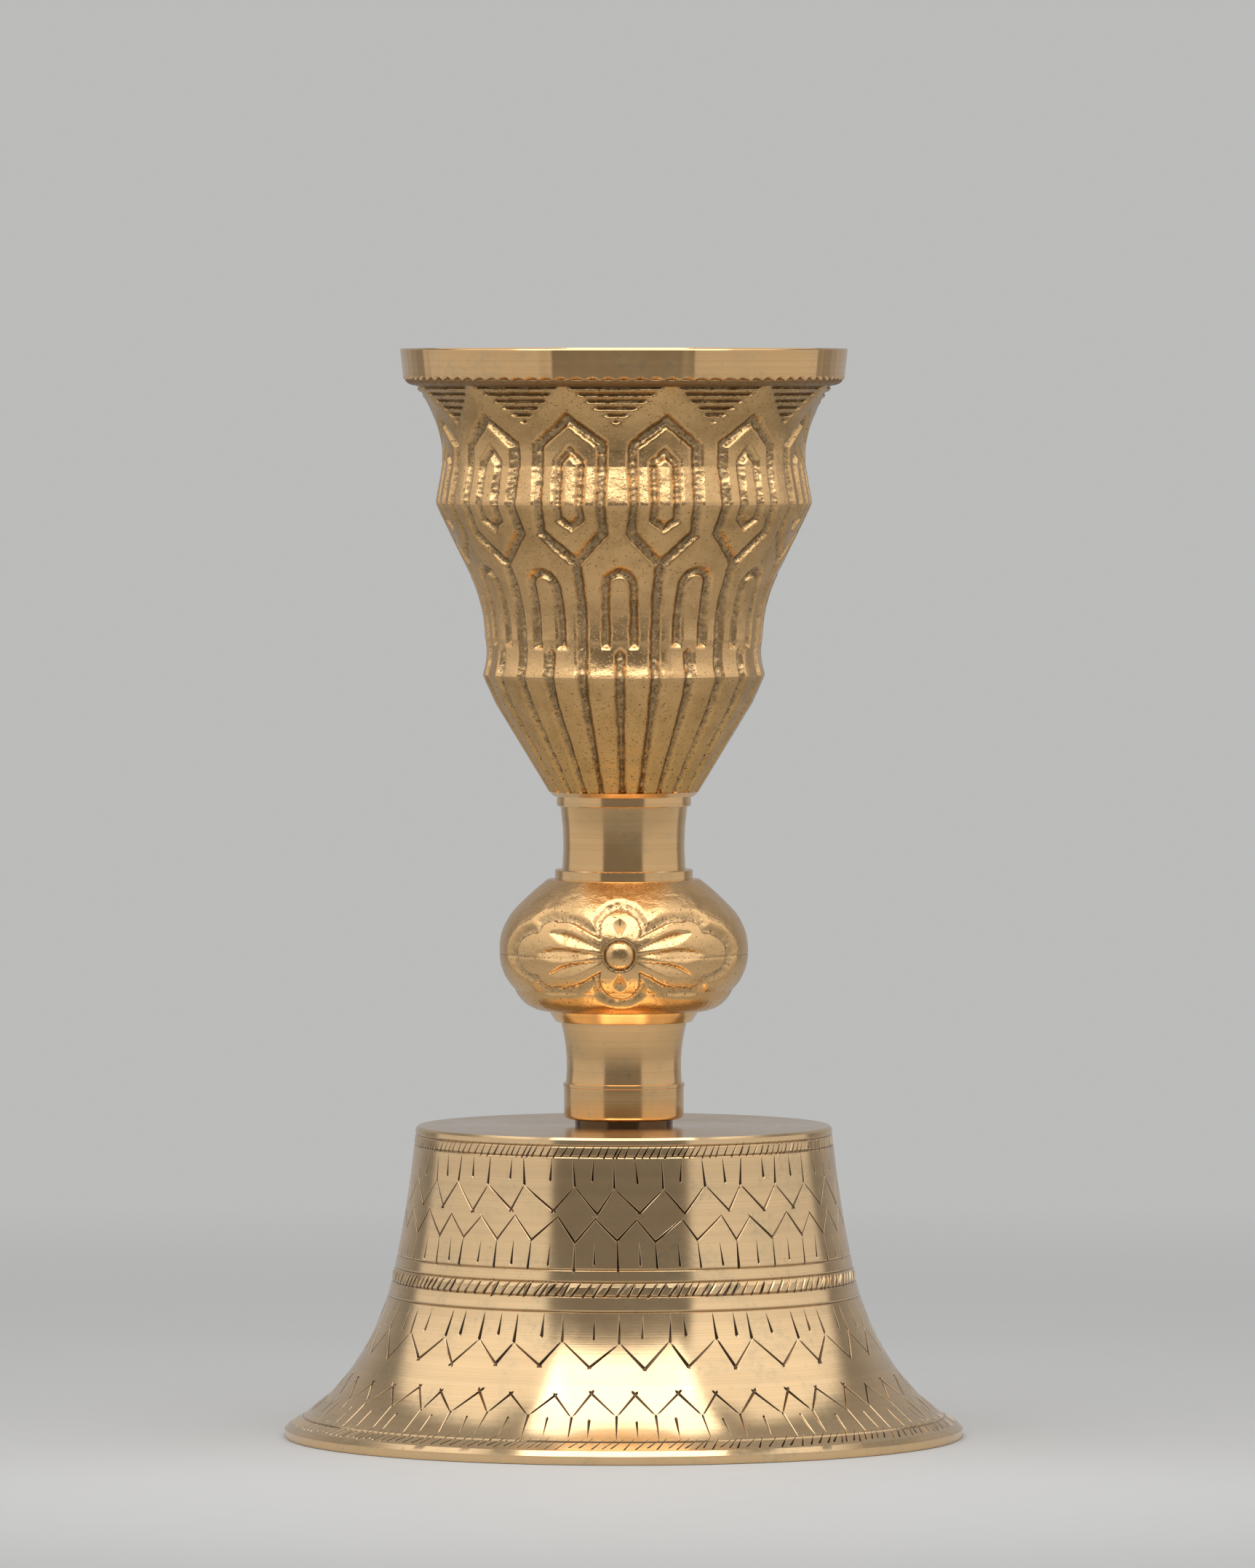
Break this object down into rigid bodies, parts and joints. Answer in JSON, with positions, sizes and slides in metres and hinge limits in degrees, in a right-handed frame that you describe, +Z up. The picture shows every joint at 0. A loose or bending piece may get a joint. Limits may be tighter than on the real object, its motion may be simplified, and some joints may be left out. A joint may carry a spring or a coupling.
{
  "type": "butter lamp",
  "caption": "Small brass butter lamp: cast petalled bowl with a wick socket, on a knopped turned stem and a flared, engraved bell-shaped base.",
  "frame": {"origin": "on the table, at the centre of the ring that the base stands on", "axes": "+Z up the lamp's turning axis; -Y is the side that one of the knop's two flowers faces"},
  "size_m": [0.0749, 0.0748, 0.12],
  "materials": {
    "turned_brass": "lathe-turned, bright satin with fine feed lines; the base is hand engraved",
    "cast_brass": "sand cast, tumbled, with fine pits and dull grooves",
    "plated_steel": "zinc plated, satin"
  },
  "bodies": {
    "stand": {"base": "turned_brass", "lower_neck": "turned_brass", "knop": "cast_brass", "upper_neck": "turned_brass", "tie_rod": "plated_steel", "washer": "plated_steel", "nut": "plated_steel"},
    "bowl": {"bowl": "cast_brass"}
  },
  "joints": [
    {"name": "bowl_lift", "type": "slide", "parent": "stand", "child": "bowl", "axis": [0, 0, 1], "range_m": [0, 0.008]}
  ]
}
